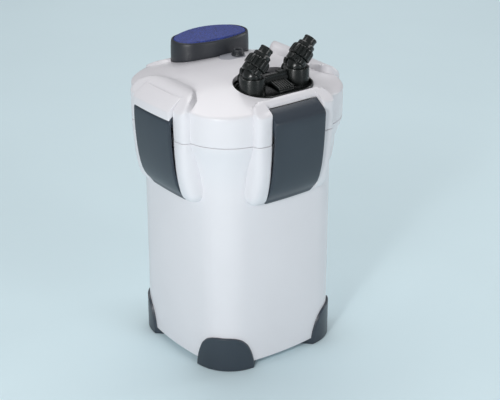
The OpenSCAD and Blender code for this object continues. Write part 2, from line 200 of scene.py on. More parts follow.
def modify(obj, kind, **settings):
    """One modifier, applied at once."""
    mod = obj.modifiers.new(kind.lower(), kind)
    for key, value in settings.items():
        setattr(mod, key, value)
    with bpy.context.temp_override(object=obj, active_object=obj, selected_objects=[obj]):
        bpy.ops.object.modifier_apply(modifier=mod.name)


def boolean(obj, other, operation="DIFFERENCE"):
    """The other object is cut out of this one, or crossed with it, and is used up."""
    modify(obj, "BOOLEAN", object=other, operation=operation, solver="EXACT")
    bpy.data.objects.remove(other)


def bevel(obj, width, segments=2, angle=35.0, shade=32.0):
    """Edges sharper than the angle are rounded, and shading breaks at those sharper than shade."""
    modify(obj, "BEVEL", width=width / 1000, segments=segments, limit_method="ANGLE",
           angle_limit=math.radians(angle), use_clamp_overlap=True, harden_normals=False)
    smooth(obj, shade)
    return obj


def join(first, *others):
    """Other objects become part of the first one."""
    with bpy.context.temp_override(active_object=first, object=first, selected_objects=[first, *others],
                                   selected_editable_objects=[first, *others]):
        bpy.ops.object.join()
    while len(first.data.materials) > 1:
        first.data.materials.pop()
    return first


def place(obj, body, *nodes):
    """The object rides on a body and stands for the CAD nodes."""
    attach(obj, body)
    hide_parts(*nodes)


def upright(x, y, z=0.0):
    """An axis along Z through a point."""
    return Matrix.Translation((x, y, z))


def loop_loft(rings):
    """Like loft, but the last ring is joined back to the first."""
    verts, faces = loft(rings, False, False)
    count = len(rings[0])
    last = len(verts) - count
    faces += [(last + j, last + (j + 1) % count, (j + 1) % count, j) for j in range(count)]
    return verts, faces


def stack(outline, rows):
    """Rings of an outline, one for each (growth, height)."""
    return [[(x, y, z) for x, y in outline(g)] for g, z in rows]


def lathe(name, profile, steps, axis, slot="black_plastic", hollow=False, angle=32.0, wave=None):
    """A profile of (radius, height) turned about the Z of the given 4x4 axis.

    The ends are capped, or a hollow profile runs back to its first point.
    wave gives what is taken off the radius at each angle and height, for flutes.
    """
    rings = []
    turn = np.linspace(0, 2 * math.pi, steps, endpoint=False)
    for radius, height in profile:
        r = radius if wave is None else np.array([radius - wave(t, height) for t in turn])
        rings.append(np.stack([r * np.cos(turn), r * np.sin(turn), np.full(steps, height)], 1))
    verts, faces = loop_loft(rings) if hollow else loft(rings)
    verts = np.asarray(verts) @ np.array(axis.to_3x3()).T + np.array(axis.translation)
    return make(name, verts, faces, slot, angle)


def extrude(name, outline, side, half, slot, rows, crown=0.0, offset=0.0):
    """An outline of (outward, up) points drawn along one side of the body, bowed outwards in the middle."""
    rings = []
    for u in np.linspace(-half, half, rows):
        sag = crown * (u / half) ** 2
        rings.append([to_world(side, w - sag, u + offset, z) for w, z in outline])
    verts, faces = loft(rings, False, False)
    count = len(outline)
    faces += [tuple(range(count)), tuple(range(len(verts) - count, len(verts)))[::-1]]
    return make(name, verts, faces, slot)


def to_world(side, w, u, z):
    """A point w outwards and u along one of the four sides (0 is +X, counted anticlockwise)."""
    c, s = ((1, 0), (0, 1), (-1, 0), (0, -1))[side]
    return (w * c - u * s, w * s + u * c, z)


def arc(cx, cz, r, a0, a1, n):
    """Points on a circle from one angle to another, in degrees."""
    return [(cx + r * math.cos(math.radians(a)), cz + r * math.sin(math.radians(a)))
            for a in np.linspace(a0, a1, n)]


def lookup(points, at):
    """The value at a place, read off a line through (place, value) points."""
    return float(np.interp(at, *zip(*points)))


def rounding(share, power):
    """A rounded edge's height, from 1 where it starts to 0 at its end."""
    return max(0.0, 1 - share**power) ** (1 / power)


# ------------------------------------------------------------------ the bowed rounded square
def body_width(u, g):
    """How far out the outline grown by g lies, u along a side from its middle."""
    u = abs(u)
    if u < TURN_U + TURN_RISE * g:
        return -(SIDE_R - BODY_HALF) + math.sqrt((SIDE_R + g) ** 2 - u * u)
    return CORNER_C + math.sqrt((CORNER_R + g) ** 2 - (u - CORNER_C) ** 2)


# columns along half a side, closest at the edges of a latch's gap and of its frame
SIDE_END, CORNER_STEPS = 72.0, 15
HALF_U = [4, 9, 14, 19, 24, 28.5, 32, 35, 37, 38.3, 38.9, 39.05, 39.3, 39.8, 40.6, 42, 44, 46, 48.5, 51, 53,
          54.8, 56.3, 57.5, 58.4, 59.1, 59.6, 59.9, 60.05, 60.6, 61.6, 63.4, 66, 69, SIDE_END]
SIDE_U = [-u for u in HALF_U[::-1]] + [0.0] + HALF_U
COLUMNS = []
for k in range(4):
    COLUMNS += [(k, "side", u) for u in SIDE_U]
    COLUMNS += [(k, "corner", (i + 1) / (CORNER_STEPS + 1)) for i in range(CORNER_STEPS)]


def corner_point(k, f, g, z):
    """A point of the grown outline, a share f of the way round corner k."""
    r = CORNER_R + g
    start = math.asin((SIDE_END - CORNER_C) / r)
    t = start + f * (math.pi / 2 - 2 * start)
    return to_world(k, CORNER_C + r * math.cos(t), CORNER_C + r * math.sin(t), z)


def body_ring(g, z):
    """The plain outline grown by g."""
    return [corner_point(k, f, g, z) if kind == "corner" else to_world(k, body_width(f, g), f, z)
            for k, kind, f in COLUMNS]


def dome(x, y):
    """Height of the plain dome over a point."""
    return DOME_Z - DOME_R + math.sqrt(DOME_R**2 - x * x - y * y)


def under_dome(x, y):
    return dome(x, y) - 5.5


# ------------------------------------------------------------------ latch frames
# a leg's lower end, the lowest row of its face, the radius of its toe and how far it splays
LEG_BOTTOM, TOE_Z, TOE_R, SPLAY = 232.0, 232.4, 15.0, 2.5
# half width of a leg's flat face, then the rounded edge along the gap: its start, width and depth
FACE_HALF, EDGE_U, EDGE_WIDE, EDGE_DEEP = 46.0, 41.0, 1.96, 1.6
# how far out a leg stands at each height
LEG = [(232, 100), (233.2, 108), (236, 111.6), (240, 114.2), (246, 116.6), (257, 119.6), (275, 122.6),
       (300, 124.6), (316, 125), (330, 125.3), (349, 125.6)]
LEG_Z = np.arange(LEG_BOTTOM, 350, 1.0)
LEG_W = np.interp(LEG_Z, *zip(*LEG))
LEG_W = np.convolve(np.pad(LEG_W, 2, mode="edge"), np.ones(5) / 5, "valid")
# height of a frame's pad at each distance outwards
PAD = [(79, 368.9), (86, 370.8), (93, 371.6), (99, 371.5), (104, 370.4), (108.5, 368.7), (112, 367.1),
       (118.5, 361.4), (124.5, 355.4), (130, 349)]
PAD_REAR = [(80, 368.2), (90, 368.4), (98, 367.0), (106, 364.4), (112, 361.5), (119, 357.5), (124.5, 353.5),
            (130, 349)]
PAD_FRONT = [(96, 366.2), (101, 367.3), (105, 367.1), (108, 365.8), (113, 362.0), (119, 357.6), (125, 352.8),
             (130, 349)]
# the left and rear pads are arches in plan: their inner end, which lies furthest in of all, and their length
PAD_BACK, ARCH_LONG = 78.0, 43.0
# the front and right pads are rectangles in plan: their inner end and the radius of their corners
FRONT_PAD, RIGHT_PAD = (101.0, 18.0), (84.0, 30.0)
# width of every pad's rounded edge
PAD_SOFT = 3.5
# the hump on the right pad: the height it adds at each distance outwards, and where it rises along the side
HUMP = [(84, 0), (92, 3.6), (104, 5.0), (111.5, 4.5), (114, 0)]
HUMP_U, HUMP_LONG = -25.0, 30.0
# how far the collar grows out of the canister at each height
GROWTH = [(255, 0), (264, 0.9), (272, 2.4), (282, 4.6), (292, 7.4), (302, 11.2), (310, 14.0),
          (316, COLLAR), (400, COLLAR)]


def pad_height(k, w):
    return lookup({SIDES["front"]: PAD_FRONT, SIDES["rear"]: PAD_REAR}.get(k, PAD), w)


def pad_share(k, w, u):
    """1 on a latch frame's pad, rounding off to 0 over its plan edge."""
    if k in (SIDES["left"], SIDES["rear"]):
        # narrowing towards the inner end
        t = min(1.0, max(0.0, (PAD_BACK + ARCH_LONG - w) / ARCH_LONG))
        depth = min((FRAME_HALF * rounding(t, 1.7) - abs(u)) * 0.8, w - PAD_BACK)
    else:
        back, r = FRONT_PAD if k == SIDES["front"] else RIGHT_PAD
        dx, du = back + r - w, abs(u) - (FRAME_HALF - r)
        depth = r - math.hypot(max(dx, 0), max(du, 0)) if (dx > 0 and du > 0) else min(r - dx, r - du)
    if depth <= 0:
        return 0.0
    return 1.0 if depth >= PAD_SOFT else math.sqrt(1 - (1 - depth / PAD_SOFT) ** 2)


def top_height(k, w, u):
    """Height of the head's top near side k."""
    x, y, _ = to_world(k, w, u, 0)
    base, pad = dome(x, y), pad_height(k, w)
    if k == SIDES["right"]:
        fade = min(1.0, max(0.0, (u - HUMP_U) / HUMP_LONG))
        pad += lookup(HUMP, w) * fade * fade * (3 - 2 * fade)
    return base + max(0.0, pad - base) * pad_share(k, w, u)


def top_at(x, y):
    """Height of the head's top at a point, over the dome and all four pads."""
    best = dome(x, y)
    for k, (w, u) in enumerate(((x, y), (y, -x), (-x, -y), (-y, x))):
        if w > PAD_BACK:
            best = max(best, top_height(k, w, u))
    return best


def leg_edge(z):
    """Half width of a frame at a height: it splays a little downwards and ends in a rounded toe."""
    z = max(z, TOE_Z)
    edge = FRAME_HALF + SPLAY * max(0.0, (SEAM_Z - z) / (SEAM_Z - LEG_BOTTOM)) ** 2
    if z < LEG_BOTTOM + TOE_R:
        edge -= TOE_R * (1 - math.sqrt(max(0.0, 1 - ((LEG_BOTTOM + TOE_R - z) / TOE_R) ** 2)))
    return edge


def along_leg(u, z):
    """Columns near the outer edge of a leg follow that edge."""
    edge, a = leg_edge(z), abs(u)
    if a <= FACE_HALF:
        return u
    if a <= FRAME_HALF:
        a = FACE_HALF + (a - FACE_HALF) * (edge - FACE_HALF) / (FRAME_HALF - FACE_HALF)
    else:
        a = edge + (a - FRAME_HALF) * (SIDE_END - edge) / (SIDE_END - FRAME_HALF)
    return math.copysign(a, u)


def leg_width(u, z, base):
    """How far out the wall stands across a frame: a leg's face, rounded to nothing at its outer edge."""
    a, out = abs(u), float(np.interp(z, LEG_Z, LEG_W))
    if a >= FRAME_HALF or z <= TOE_Z:
        return base
    if a > FACE_HALF:
        out = base + max(0.0, out - base) * rounding((a - FACE_HALF) / (FRAME_HALF - FACE_HALF), 2.8)
    elif a < EDGE_U:
        lip = min(1.0, (EDGE_U - a) / EDGE_WIDE)
        out -= EDGE_DEEP * (1 - math.sqrt(max(0.0, 1 - lip * lip)))
    return max(base, out)


def canister_ring(z, inset=0.0):
    """The canister's outer wall at a height, with the collar, the gaps and the legs."""
    g = lookup(GROWTH, z) - inset
    ring = []
    for k, kind, f in COLUMNS:
        if kind == "corner":
            ring.append(corner_point(k, f, g, z))
            continue
        u = along_leg(f, z)
        base = body_width(u, g)
        if abs(f) < GAP_HALF:
            w = LEDGE_W - inset if z >= LEDGE_Z else min(base, RECESS_W)
        else:
            w = leg_width(f, z, base) - (inset if abs(f) < FRAME_HALF else 0.0)
        ring.append(to_world(k, w, u, z))
    return ring


def build_canister():
    """A hollow shell: up the outside, over the upper edge and down the inside to a floor."""
    heights = [20.0, 48.0, 90.0, 140.0, 190.0, 222.0, 230.0, TOE_Z, 233.2, 234.2, 235.4, 237, 239, 241, 243.5,
               246, 249, 252, 255, 259, 263, 267, 271, 275, 280, 285, 290, 295, 300, 305.7, LEDGE_Z, 309, 312,
               315.2]
    rings = [body_ring(g, z) for g, z in ((-3.4, BODY_Z), (-1.2, 8.2), (-0.2, 9.2))]
    rings += [canister_ring(z) for z in heights] + [canister_ring(BODY_TOP, 0.5)]
    rings += [body_ring(g, z) for g, z in ((6.2, BODY_TOP), (6.0, 296), (-3, 296), (-3, 14), (-6, 11))]
    place(make("Canister", *loft(rings), angle=38), "housing", "canister")


# ------------------------------------------------------------------ head
def head_wall(k, f, z):
    """How far out the head's wall stands in a column of side k."""
    if abs(f) < GAP_HALF:
        return REAR_RECESS_W if k == SIDES["rear"] else RECESS_W
    return leg_width(f, z, body_width(f, COLLAR))


def head_column(k, kind, f):
    """One column of the head, from its lower rim over the crest to the inner ring of the top."""
    corner = kind == "corner"

    def point(out, z=None):
        """A point of the column, on the top if no height is given."""
        if not corner:
            return to_world(k, out, f, top_height(k, out, f) if z is None else z)
        x, y, _ = corner_point(k, f, out, 0)
        return (x, y, dome(x, y) if z is None else z)

    def wall(z):
        return COLLAR if corner else head_wall(k, f, min(z, WALL_Z))

    edge = wall(WALL_Z)
    top = point(edge)[2]
    column = [point(wall(z) - (0.5 if i == 0 else 0), z)
              for i, z in enumerate(np.linspace(RIM_Z, top - CREST_R, 9))]
    column += [point(edge - back, top - drop) for drop, back in CREST]
    start, end = edge - CREST_R, INNER_G if corner else body_width(f, INNER_G)
    return column + [point(start + t * (end - start)) for t in np.linspace(0, 1, 13)]


def drawn_in(ring, share, height):
    """A ring drawn in towards the middle by a share, at the height that a function gives."""
    ring = ring * [1 - share, 1 - share, 0]
    ring[:, 2] = [height(x, y) for x, y, _ in ring]
    return ring


def skin_ring(z):
    """A ring of the head's inner skin, which steps in behind the latches."""
    ring = []
    for k, kind, f in COLUMNS:
        if kind == "corner":
            ring.append(corner_point(k, f, SKIN_G, z))
        else:
            w = body_width(f, SKIN_G)
            ring.append(to_world(k, min(SKIN_STEP_W, w) if abs(f) < SKIN_STEP_U else w, f, z))
    return np.array(ring)


def cutter(outline, g, z0, z1):
    return make("cut", *loft(stack(outline, ((g, z0), (g, z1)))))


def stadium_outline(r):
    """Outline of the valve tray: two half circles of a radius and the straight part between them."""
    half = [(TRAY[0] + TRAY_HALF + r * math.cos(t), TRAY[1] + r * math.sin(t))
            for t in np.linspace(-math.pi / 2, math.pi / 2, 40)]
    return half + [(2 * TRAY[0] - x, 2 * TRAY[1] - y) for x, y in half]


def oval_outline(g, n=34):
    """Outline of the priming button: two end circles and two shallow side arcs, grown by g."""
    switch = math.atan2(END_X, ARC_Y)
    half = [(END_X + (END_R + g) * math.cos(t), (END_R + g) * math.sin(t))
            for t in np.linspace(-(math.pi / 2 - switch), math.pi / 2 - switch, n)]
    half += [((ARC_R + g) * math.sin(t), -ARC_Y + (ARC_R + g) * math.cos(t))
             for t in np.linspace(switch, -switch, n)[1:-1]]
    return [(PRIME[0] + s * x, PRIME[1] + s * y) for s in (1, -1) for x, y in half]


def swing_pocket(side, pivot, radius, stop_w, floor_z):
    """The room behind a latch that its upper edge swings into, inside the wall of the head."""
    pw, pz = pivot
    start = math.degrees(math.acos((stop_w - pw) / radius))
    end = 180 - math.degrees(math.asin((floor_z - pz) / radius))
    outline = arc(pw, pz, radius, start, end, 16) + [(stop_w, floor_z)]
    return extrude("cut", outline, side, GAP_HALF, "white_plastic", 9, BOW)


def build_head():
    columns = [head_column(*c) for c in COLUMNS]
    rings = [np.array([col[i] for col in columns]) for i in range(len(columns[0]))]
    edge = rings[-1]
    rings += [drawn_in(edge, s, top_at) for s in (0.03, 0.06, 0.1, 0.2, 0.34, 0.5, 0.66, 0.82, 0.93)]
    verts, faces = loft(rings, False, True)
    verts[-1][2] = DOME_Z
    # the inner skin follows the outer one and meets it at the lower rim
    skin = [skin_ring(z) for z in (RIM_Z, 340.0)]
    skin += [drawn_in(edge, s, under_dome) for s in (0.0, 0.12, 0.4, 0.7)]
    skin_verts, skin_faces = loft(skin, False, True)
    shift, count = len(verts), len(COLUMNS)
    verts += skin_verts
    faces += [tuple(i + shift for i in reversed(f)) for f in skin_faces]
    faces += [(j, (j + 1) % count, shift + (j + 1) % count, shift + j) for j in range(count)]
    head = make("HeadCover", verts, faces, angle=38)
    boolean(head, cutter(stadium_outline, 36.2, 340, 400))
    boolean(head, cutter(oval_outline, 0.35, 352, 400))
    boolean(head, lathe("cut", [(7.05, 350), (7.05, 400)], 48, upright(*GLAND)))
    boolean(head, cutter(boss_outline, 0.25, 371.0, 400))
    boolean(head, swing_pocket(SIDES["front"], (PIVOT_W, PIVOT_Z), 21.7, 113.0, 336.0))
    boolean(head, swing_pocket(SIDES["rear"], (CAP_PIVOT_W, CAP_PIVOT_Z), 10.3, 116.5, 334.0))
    smooth(head, 38)
    # the wall round the well that the priming button moves in
    cup = ((0.35, 352), (0.35, 358), (2.2, 358), (2.2, 347), (-20, 347), (-20, 352))
    join(head, make("cup", *loop_loft(stack(oval_outline, cup))))
    place(head, "housing", "head_cover")


# ------------------------------------------------------------------ gland
def boss_outline(g):
    """Oblong outline of the flat plate round the gland."""
    (x0, x1), r = PLATE_X, PLATE_R + g
    right = [(x1 + r * math.cos(t), PLATE_Y + r * math.sin(t))
             for t in np.linspace(-math.pi / 2, math.pi / 2, 24)]
    return right + [(x0 - (x - x1), 2 * PLATE_Y - y) for x, y in right]


def build_gland():
    rings = stack(boss_outline, ((0, 371.5), (0, 375.7), (-0.5, 376.2)))
    plate = make("GlandBoss", *loft(rings), "grey_plastic")
    boolean(plate, lathe("cut", [(6.96, 350), (6.96, 400)], 48, upright(*GLAND)))
    smooth(plate, 30)
    place(plate, "housing", "gland_boss")
    profile = [(3.6, 369), (6.9, 369), (6.9, 376.25), (8.2, 376.25), (8.5, 376.6), (8.5, 378.2), (8.2, 378.6),
               (7, 378.7), (6.9, 379.4), (6.5, 380.2), (6.9, 381), (6.5, 381.8), (6.8, 382.6), (6.6, 383.4),
               (6, 384), (4.4, 384), (3.6, 383.2)]
    gland = lathe("CableGland", profile, 48, upright(*GLAND), "dark_plastic", True, 40)
    place(gland, "housing", "cable_gland")


# ------------------------------------------------------------------ latches and caps
# a lever's section below its pivot, down the outside and up the inside
LEVER = [(131.9, 322), (131.4, 311), (130.6, 300), (129.3, 287), (127.6, 275), (125.4, 264.5), (122.6, 255),
         (119.2, 247.6), (115, 241.5), (111.6, 238), (109.2, 234.6), (107.6, 231.2),
         (105.4, 232.0), (106.2, 235.6), (108.8, 239.9), (112.3, 244.5), (116, 250.3), (119.2, 257.5),
         (122, 266.4), (124.1, 276.5), (125.9, 288.4), (127.1, 301), (128.0, 312), (128.3, 322)]
# how much lower the rear cap's top lies at each distance outwards
REAR_DROP = [(115, 6.2), (122, 4.4), (128, 2.0), (132.6, 0.6)]


def rounded_window(side, half, z0, z1, r):
    """A block that leaves rounded lower corners on the lever it is crossed with."""
    outline = []
    corners = ((1, z1 - 1, 1.0), (-1, z1 - 1, 1.0), (-1, z0 + r, r), (1, z0 + r, r))
    for quarter, (sign, z, radius) in enumerate(corners):
        outline += arc(sign * (half - radius), z, radius, 90 * quarter, 90 * quarter + 90, 9)
    return make("window", *loft([[to_world(side, w, u, z) for u, z in outline] for w in (95.0, 145.0)]))


def build_lever(label):
    """A hooked lever on its barrel; the front one also covers its pivot, where the others have a cap."""
    side, front = SIDES[label], label == "front"
    pw, pz, pr = (PIVOT_W, PIVOT_Z, 5.0) if front else (CAP_PIVOT_W, CAP_PIVOT_Z, 4.5)
    if front:
        outline = [(113.9, 357.9), (122, 352.5), (130.2, 347.0), (131.9, 345.2), (132.6, 342), (132.4, 333)]
        outline += LEVER + [(128, 328), (126, 332), (117, 334.5), (116, 340), (115.5, 350), (112.8, 355.8)]
    else:
        outline = arc(pw, pz, 9.5, 90, 0, 12) + [(132.1, 330)] + LEVER + [(128.5, 330)]
        outline += arc(pw, pz, 6.0, 0, 90, 9)
    lever = extrude("Latch" + label.title(), outline, side, LEVER_HALF, "slate_plastic", 25, BOW)
    boolean(lever, rounded_window(side, LEVER_HALF + 0.5, 230.6, 362, 7.0), "INTERSECT")
    bevel(lever, 0.7, 2, 40, 34)
    barrel = arc(pw, pz, pr, 0, 345, 24)
    parts = [extrude("barrel", barrel, side, LEVER_HALF - 1.5, "slate_plastic", 2)]
    for u in (-30, -10, 10, 30):
        rib = [(pw + 1, pz - 3.4), (129.5, pz - 9), (129.5, pz + 2), (pw + 2, pz + 3.4)]
        parts.append(extrude("rib", rib, side, 1.5, "slate_plastic", 2, 0, u))
    hook = [(129.2, 296), (129.2, 308), (127, 305.6), (112.9, 305.6), (112.9, 302.6), (116, 300.5)]
    parts.append(bevel(extrude("hook", hook, side, 26, "slate_plastic", 2), 0.5))
    for u in (-33, -11, 11, 33):
        stay = [(126.8, 300), (125, 292), (121.8, 272), (123.2, 270), (125.6, 279), (127.8, 296)]
        parts.append(extrude("stay", stay, side, 0.9, "slate_plastic", 2, 0, u))
    join(lever, *parts)
    place(lever, "latch_" + label, "latch_" + label)


def build_cap(label):
    """The fixed cap over a latch's pivot; the rear one starts further out and lies lower."""
    side, rear = SIDES[label], label == "rear"
    start = 115.6 if rear else 112.0
    outline = [(start, 366.8), (116.4, 365.9)] if rear else [(start, 367.1), (114, 366.5)]
    outline += [(117.4, 364.9), (122, 362.0), (127.4, 357.4), (130.8, 354.6), (132.1, 353.4), (132.6, 352.0),
                (132.6, 342.7), (132.3, 342.4), (CAP_PIVOT_W + 8.58, 342.4)]
    outline += arc(CAP_PIVOT_W, CAP_PIVOT_Z, 10.1, 32.5, 90, 9)
    outline += arc(CAP_PIVOT_W, CAP_PIVOT_Z, 10.1, 100, 130 if rear else 158, 6)
    outline.append((start, 345.4 if rear else 343))
    if rear:
        outline = [(w, z - lookup(REAR_DROP, w) * (z > 351)) for w, z in outline]
    cap = extrude("LatchCap" + label.title(), outline, side, GAP_HALF - 0.22, "white_plastic", 21, BOW)
    bevel(cap, 0.45, 2, 50, 36)
    place(cap, "housing", "cap_" + label)


# ------------------------------------------------------------------ feet
FOOT_TOP = 48
# half the width of a foot, across the corner's diagonal, at each height
FOOT_SHAPE = [(0, 37.6), (8, 37.2), (18, 35.6), (28, 33), (35, 30), (40, 26.6), (43.5, 23), (46, 18.5),
              (47.4, 14), (FOOT_TOP, 9)]


def corner_arc(g):
    """The grown outline round a corner: distances along its diagonal and across it."""
    root = math.sqrt(0.5)
    us = np.linspace(20, CORNER_C + (CORNER_R + g) * root, 200)
    pts = [((body_width(u, g) + u) * root, (u - body_width(u, g)) * root) for u in us]
    return np.array(pts + [(d, -v) for d, v in pts[-2::-1]])


def build_foot(corner, quarter):
    """A slate shoe wrapped round one lower corner, narrowing upwards."""
    outer = corner_arc(3.2)
    turn = math.pi / 4 + quarter * math.pi / 2
    c, s = math.cos(turn), math.sin(turn)
    rings = []
    for z in (0, 1.0, 4, 8, 12, 18, 24, 30, 35, 38, 41, 43.5, 45.5, 47, FOOT_TOP):
        inset = {0: 1.2, FOOT_TOP: 1.0}.get(z, 0.0)
        across = np.linspace(-1, 1, 33) * (lookup(FOOT_SHAPE, z) - inset * 0.5)
        along = np.interp(across, outer[:, 1], outer[:, 0]) - inset
        outline = list(zip(along, across)) + [(84.0, v) for v in across[::-1]]
        rings.append([(x * c - y * s, x * s + y * c, z) for x, y in outline])
    foot = make("Foot" + corner.title().replace("_", ""), *loft(rings), "slate_plastic")
    boolean(foot, make("cut", *loft([body_ring(-0.02, BODY_Z), body_ring(-0.02, 60)])))
    bevel(foot, 0.9, 3, 40, 40)
    place(foot, "housing", "foot_" + corner)


# ------------------------------------------------------------------ priming pump
# the pad's top, its radius of curvature doubled, and the share of the way in that its edge is rounded over
PAD_TOP, PAD_CROWN, PAD_ROUND = 398.2, 840.0, 0.03
BUMP_PITCH, BUMP = 3.0, 0.20


def pad_bumps(x, y):
    """Height of the pad's fine hexagonal bumps."""
    a = 2 * math.pi / BUMP_PITCH
    wave = math.cos(a * x) + math.cos(a * (0.5 * x + 0.866 * y)) + math.cos(a * (0.5 * x - 0.866 * y))
    return BUMP * max(-0.6, wave - 0.6) / 2.4


def build_primer():
    rows = [(-2.4, 366.2), (-0.4, 366.2), (0, 366.8), (0, 376), (-0.15, 385), (-0.5, 391), (-0.9, 393.4),
            (-1.5, 394.6), (-2.5, 395.1), (-3.1, 394.9), (-3.4, 394.2), (-3.5, 392.5), (-2.6, 391.6),
            (-2.4, 391.0)]
    button = make("PrimeButton", *loop_loft(stack(oval_outline, rows)), "dark_plastic", 40)
    place(button, "prime_button", "prime_button")
    edge = oval_outline(-3.75, 60)
    rings = [[(x, y, 392.5) for x, y in edge]]
    for s in np.concatenate([[0.0, 0.006, 0.016], np.linspace(PAD_ROUND, 0.985, 62)]):
        ring = []
        for x, y in edge:
            px, py = PRIME[0] + (x - PRIME[0]) * (1 - s), PRIME[1] + (y - PRIME[1]) * (1 - s)
            d2 = (px - PRIME[0]) ** 2 + (py - PRIME[1]) ** 2
            z = PAD_TOP - d2 / PAD_CROWN - (1.4 * (1 - s / PAD_ROUND) ** 2 if s < PAD_ROUND else 0.0)
            if s > PAD_ROUND:
                z += pad_bumps(px, py)
            ring.append((px, py, z))
        rings.append(ring)
    place(make("PrimePad", *loft(rings), "blue_pad", 60), "prime_button", "prime_pad")


# ------------------------------------------------------------------ valve block
def slant(x):
    """The leaning axis of a port's elbow, nut and hose tail."""
    return Matrix.Translation((x - 4, POST_Y, 388.5)) @ Matrix.Rotation(math.radians(45), 4, "Y")


def flutes(count, depth, z0, z1):
    """Flutes of a depth between two heights, as a wave for lathe."""
    def wave(t, z):
        if z <= z0 or z >= z1:
            return 0.0
        return depth * max(0.0, math.cos(count * t)) ** 1.5
    return wave


def build_tray():
    rows = [(36, 350.5), (36, 365.6), (35.6, 366.3), (35.0, 366.5), (34.2, 366.4), (33.7, 365.8), (33.6, 365),
            (33.6, 362.2), (33.2, 361.4), (FLOOR_R, TRAY_FLOOR), (20, TRAY_FLOOR), (6, TRAY_FLOOR)]
    tray = make("ValveTray", *loft(stack(stadium_outline, rows)), "black_plastic", 35)
    post = [(18.4, 360.8), (17.2, 361.3), (16.5, 362.3), (16.2, 364), (16.0, 383.2), (15.8, 383.8),
            (15.3, POST_TOP), (8, POST_TOP), (8, 352), (12, 352)]
    parts = [lathe("post", post, 72, upright(x, POST_Y), hollow=True, angle=40) for x in POST_X.values()]
    ridge = [(-0.6, 360.6), (0.6, 360.6), (0.35, 362.4), (-0.35, 362.4)]
    left = TRAY[0] - TRAY_HALF
    for i in range(7):
        x = left - 30 + i * 3.1
        reach = math.sqrt(FLOOR_R**2 - (left - x) ** 2)
        for middle in (x, 2 * TRAY[0] - x):
            rings = [[(middle + a, TRAY[1] + v, z) for a, z in ridge] for v in (-reach, reach)]
            parts.append(make("ridge", *loft(rings), "black_plastic"))
    join(tray, *parts)
    place(tray, "housing", "valve_tray")


def build_elbow(key):
    """A ball on the post, cut off square to the slant, with a fluted ring."""
    x = POST_X[key]
    ball = [(12.1, POST_TOP + 0.05), (12.2, POST_TOP + 1.0)]
    ball += [(12.2 * math.cos(a), POST_TOP + 1 + 12.6 * math.sin(a)) for a in np.linspace(0.12, 1.45, 12)]
    elbow = lathe("Elbow" + key.title(), ball, 64, upright(x, POST_Y), angle=40)
    slab = [[(a, b, s) for a, b in ((-30, -30), (30, -30), (30, 30), (-30, 30))] for s in (9.0, 60.0)]
    verts, faces = loft(slab)
    turned = slant(x)
    boolean(elbow, make("cut", [turned @ Vector(v) for v in verts], faces))
    smooth(elbow, 40)
    profile = [(9, 0.5), (12.6, 1.2), (13.2, 2.0), (13.2, 3.2), (13.2, 8.0), (12.6, 8.9), (10.5, 9.1),
               (9.8, 9.1), (9.8, 20), (6.3, 20), (6.3, 1)]
    join(elbow, lathe("ring", profile, 144, slant(x), hollow=True, wave=flutes(16, 1.3, 2.6, 8.5)))
    place(elbow, "housing", "elbow_" + key)


def build_nut(key):
    profile = [(10.6, 9.5), (14.0, 9.5), (14.8, 10.2), (15.0, 11.2), (15.0, 12.0), (15.0, 17.0), (14.8, 20.2),
               (14.2, 21.8), (13.0, 22.9), (12.2, 23.1), (8.5, 23.0), (8.5, 20.6), (10.5, 20.6)]
    grip = flutes(16, 1.6, 10.6, 21.9)
    nut = lathe("Nut" + key.title(), profile, 180, slant(POST_X[key]), hollow=True, wave=grip)
    place(nut, "nut_" + key, "nut_" + key)


def build_tail(key):
    profile = [(6.2, 12.2), (7.95, 12.2), (7.95, 23.5), (10.8, 23.5), (11.3, 24.0), (11.3, 28.0),
               (10.6, 29.0), (9.1, 29.3), (8.5, 29.9), (8.3, 31.0), (8.3, 35.8), (8.7, 36.3), (8.7, 37.5),
               (8.1, 38.3), (7.6, 38.5), (6.7, 38.5), (6.3, 38.0)]
    tail = lathe("HoseTail" + key.title(), profile, 72, slant(POST_X[key]), hollow=True, angle=30)
    place(tail, "housing", "tail_" + key)


def build_tap(key):
    x = POST_X[key]
    axis = upright(x, POST_Y, 377) @ Matrix.Rotation(math.radians(-90), 4, "X")
    profile = [(5, 9), (5, 16.8), (6.6, 17.2), (7, 17.8), (7, 22.2), (6.6, 22.8), (5.6, 23.0)]
    tap = lathe("Tap" + key.title(), profile, 48, axis, angle=40)
    lug = [(-3.4, 376), (3.4, 376), (3.1, 386), (2.2, 389.4), (0.8, 390.4), (-0.8, 390.4), (-2.2, 389.4),
           (-3.1, 386)]
    rings = [[(x + a, y, z) for a, z in lug] for y in (POST_Y + 17.6, POST_Y + 22.8)]
    join(tap, bevel(make("lug", *loft(rings), "black_plastic"), 0.8, 2))
    place(tap, "tap_" + key, "tap_" + key)


def slab_x(name, outline, x0, x1, edge, segments=2):
    """An outline of (y, z) drawn along X with its edges rounded."""
    verts, faces = loft([[(x, y, z) for y, z in outline] for x in (x0, x1)])
    return bevel(make(name, verts, faces, "black_plastic"), edge, segments)


